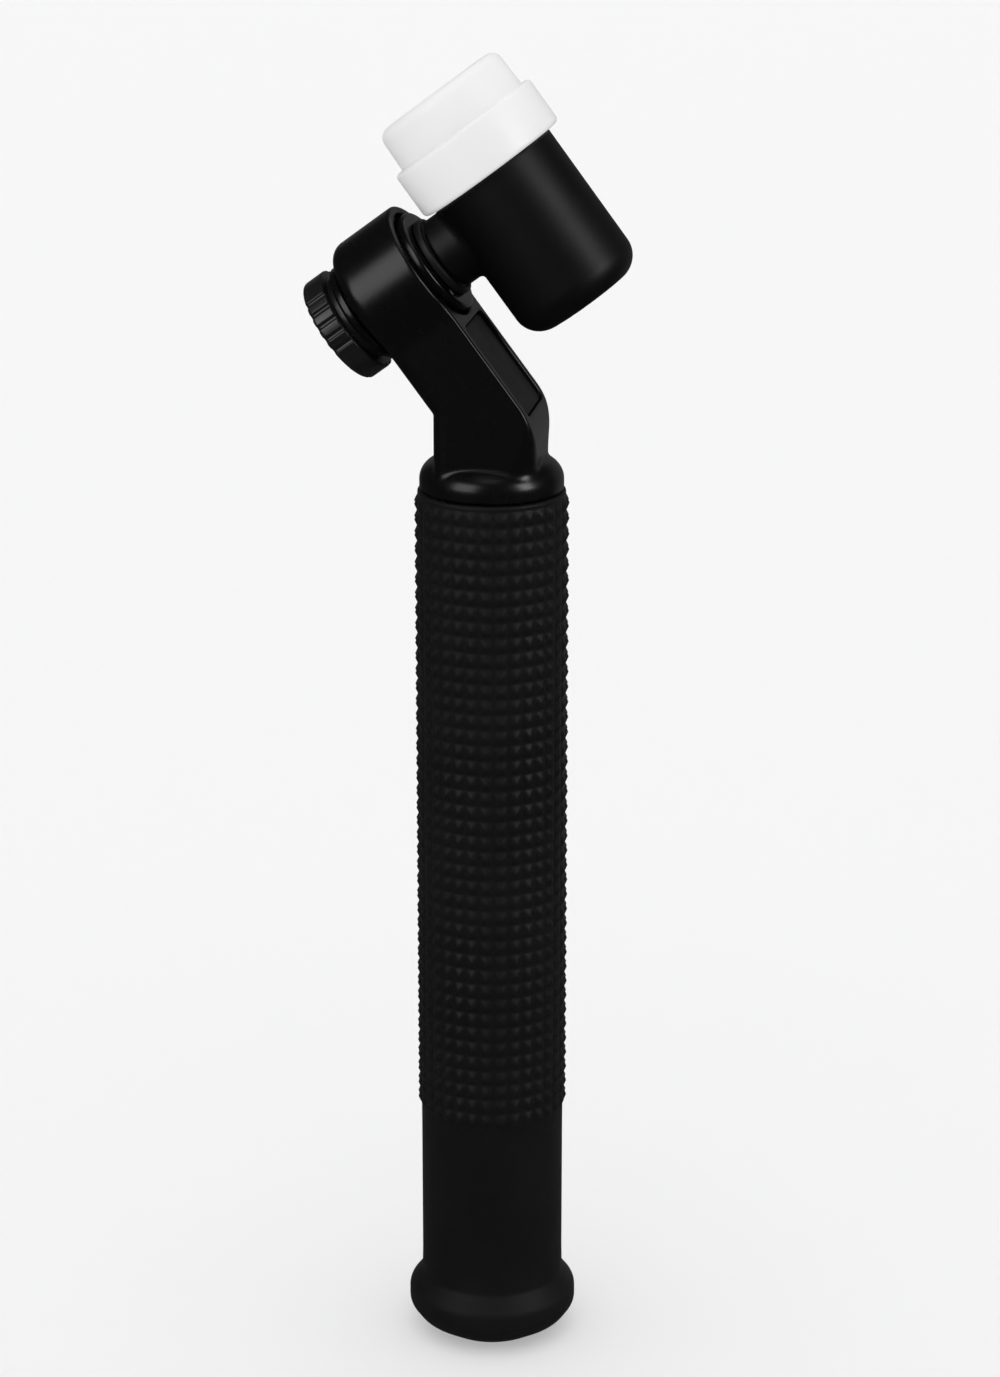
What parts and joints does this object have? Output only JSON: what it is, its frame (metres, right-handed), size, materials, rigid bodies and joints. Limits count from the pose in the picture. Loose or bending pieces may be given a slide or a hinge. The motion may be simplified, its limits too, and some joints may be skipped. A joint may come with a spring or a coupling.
{
  "type": "tig torch",
  "caption": "Hand-held TIG welding torch with a rubber grip, bent neck and swivelling head that a fluted knob locks.",
  "frame": {"origin": "bottom centre of the torch's bounding box: z = 0 is the standing face of the grip's rear flange, and the handle's axis is the vertical line x = +3.6 mm, y = 0", "axes": "+Z along the handle from its rear flange towards the neck; +X the way the neck leans the swivel's axis and the head's black end points; the torch is symmetric about the XZ plane apart from the small ring pin and the knob's flutes"},
  "size_m": [0.0484, 0.0262, 0.2011],
  "materials": {
    "grip_rubber": "matte moulded rubber with raised studs",
    "phenolic": "satin phenolic tube",
    "bush_rubber": "matte rubber",
    "neck_nylon": "glossy moulded nylon",
    "cover_nylon": "satin moulded nylon",
    "ring_nylon": "glossy moulded nylon",
    "washer_nylon": "glossy turned nylon",
    "knob_nylon": "semi-gloss moulded nylon with flutes",
    "insert_brass": "turned brass",
    "spring_steel": "satin spring steel",
    "pin_steel": "ground steel",
    "stop_steel": "ground steel",
    "seal_rubber": "matte rubber",
    "dust_seal_rubber": "matte rubber",
    "o_ring_rubber": "satin rubber",
    "copper": "drawn copper tube",
    "sleeve_plastic": "matte insulating sleeve",
    "fitting_brass": "turned brass",
    "block_brass": "turned brass",
    "stem_brass": "turned brass",
    "body_brass": "turned brass",
    "head_silicone": "satin moulded silicone rubber",
    "ptfe": "smooth white fluoropolymer"
  },
  "bodies": {
    "handle": {"grip_sleeve": "grip_rubber", "handle_tube": "phenolic", "rear_bush": "bush_rubber", "neck_housing": "neck_nylon", "spigot_seal": "seal_rubber", "neck_cover": "cover_nylon", "conduit_tube": "copper", "conduit_sleeve": "sleeve_plastic", "power_fitting": "fitting_brass", "swivel_block": "block_brass", "swivel_ring": "ring_nylon", "ring_pin": "pin_steel", "dust_seal": "dust_seal_rubber"},
    "head": {"head_cover": "head_silicone", "head_body": "body_brass", "cup_gasket": "ptfe", "swivel_stem": "stem_brass", "stop_pin": "stop_steel", "stem_o_ring_front": "o_ring_rubber", "stem_o_ring_rear": "o_ring_rubber"},
    "knob_carrier": {"thrust_washer": "washer_nylon", "spring_washer": "spring_steel"},
    "knob": {"lock_knob": "knob_nylon", "knob_insert": "insert_brass"}
  },
  "joints": [
    {"name": "head_swivel", "type": "hinge", "parent": "handle", "child": "head", "pos_m": [-0.00514, 0, 0.17054], "axis": [0.8018, 0, 0.5976], "range_deg": [-90, 90]},
    {"name": "knob_travel", "type": "slide", "parent": "head", "child": "knob_carrier", "axis": [-0.8018, 0, -0.5976], "range_m": [0, 0.001]},
    {"name": "knob_turn", "type": "hinge", "parent": "knob_carrier", "child": "knob", "pos_m": [-0.01676, 0, 0.16187], "axis": [-0.8018, 0, -0.5976], "range_deg": [0, 360]}
  ],
  "couplings": [
    {"joint": "knob_turn", "follows": "knob_travel", "rad_per_m": 6283.1}
  ]
}
